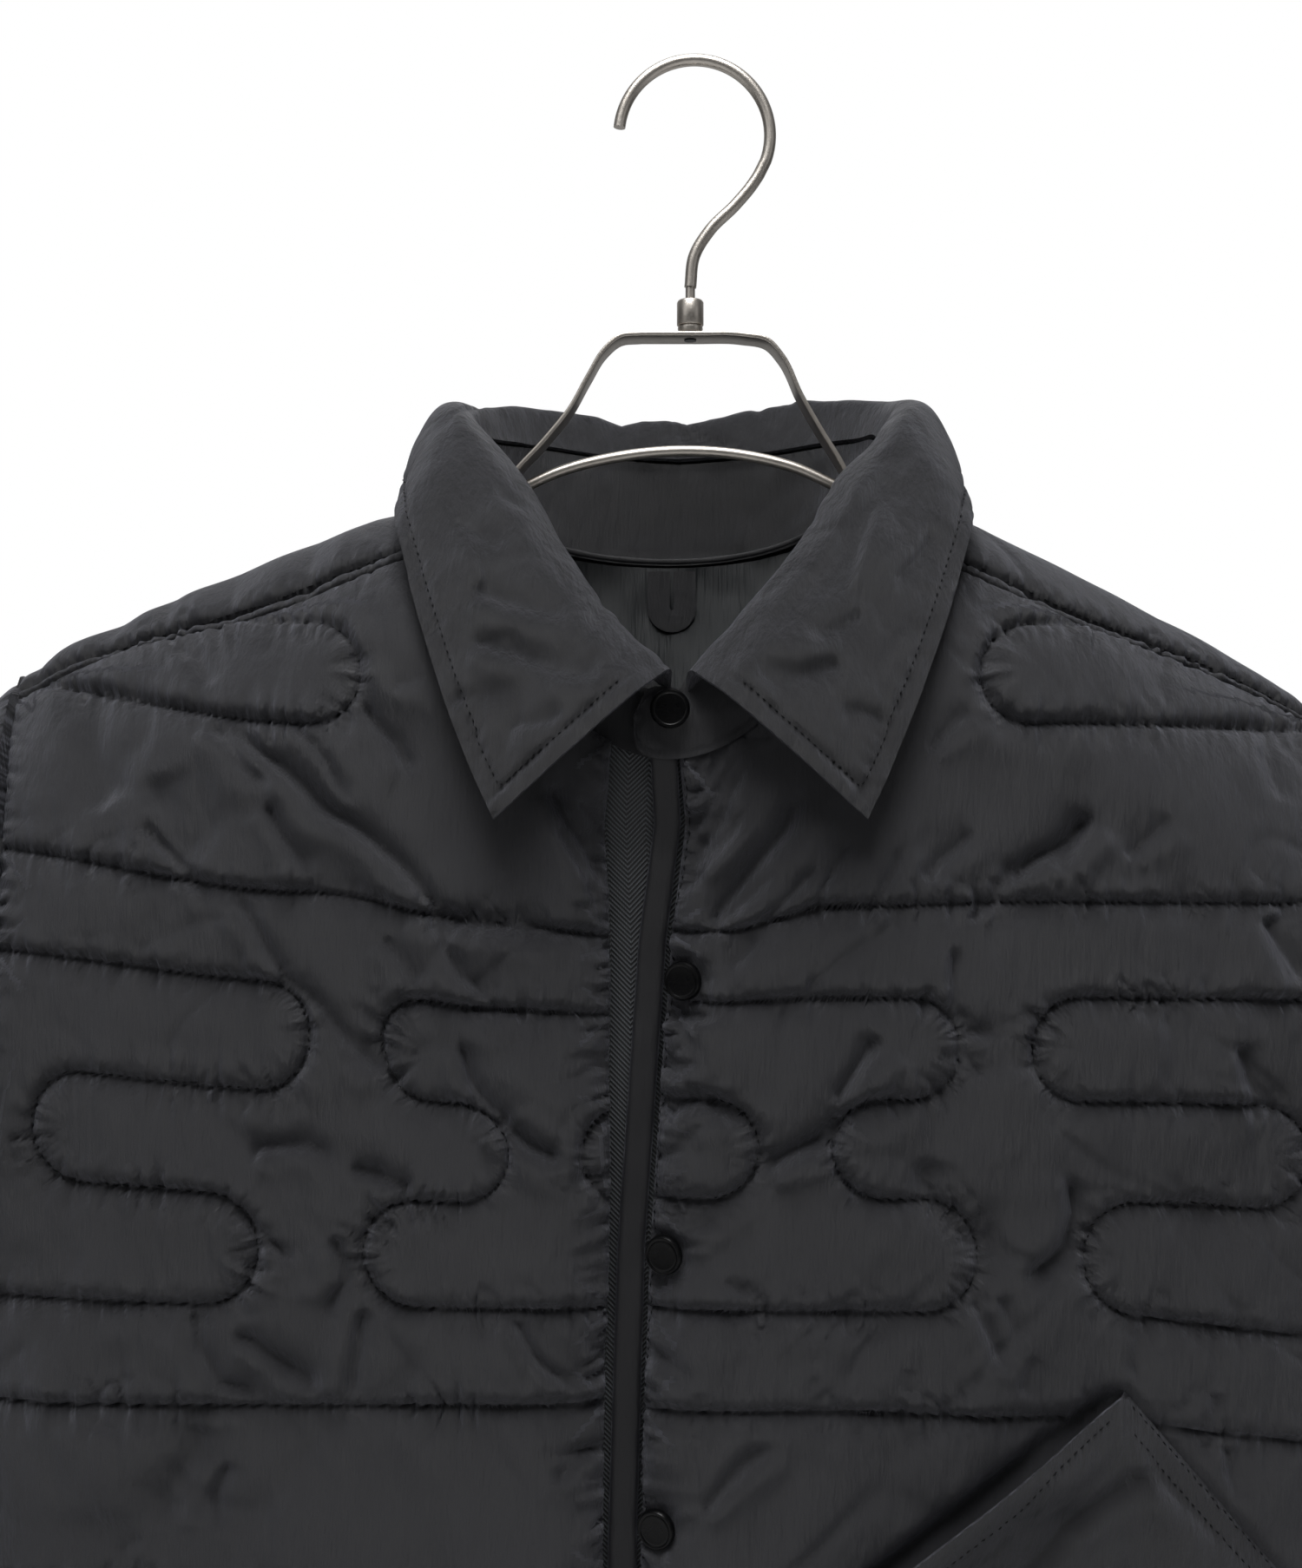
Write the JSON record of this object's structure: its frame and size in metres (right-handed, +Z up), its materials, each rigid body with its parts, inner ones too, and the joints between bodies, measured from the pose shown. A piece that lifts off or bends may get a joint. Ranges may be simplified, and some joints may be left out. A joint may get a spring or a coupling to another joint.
{
  "type": "quilted shirt jacket on a hanger",
  "caption": "Black quilted nylon shirt jacket with a pointed collar on a stand and a snap front, hanging open-necked on a thin metal hanger with a hook",
  "frame": {"origin": "the inner top of the hanger's hook, where it rests on a rail", "axes": "+Z up, the front of the jacket faces -Y, the wearer's left is at +X"},
  "size_m": [0.7838, 0.1227, 0.8902],
  "materials": {
    "shell_nylon": "black nylon with a faint cool sheen, padded and quilted",
    "twill_tape": "black herringbone twill tape",
    "lining_taffeta": "smooth dark grey lining with a soft sheen",
    "snap_black": "matt black painted snap caps",
    "satin_nickel": "satin nickel plate, slightly warm"
  },
  "bodies": {
    "root": {"front_left": "shell_nylon", "front_right": "shell_nylon", "back": "shell_nylon", "sleeve_left": "shell_nylon", "sleeve_right": "shell_nylon", "collar_leaf": "shell_nylon", "collar_stand": "shell_nylon", "front_band": "shell_nylon", "pocket_patch": "shell_nylon", "hanger_loop": "shell_nylon", "underlap_tape": "twill_tape", "back_lining": "lining_taffeta", "snap_cap_1": "snap_black", "snap_cap_2": "snap_black", "snap_cap_3": "snap_black", "snap_cap_4": "snap_black", "snap_cap_5": "snap_black", "snap_cap_6": "snap_black", "snap_cap_7": "snap_black", "hanger_hook": "satin_nickel", "hanger_ferrule": "satin_nickel", "hanger_frame": "satin_nickel", "hanger_bar": "satin_nickel"}
  },
  "joints": []
}
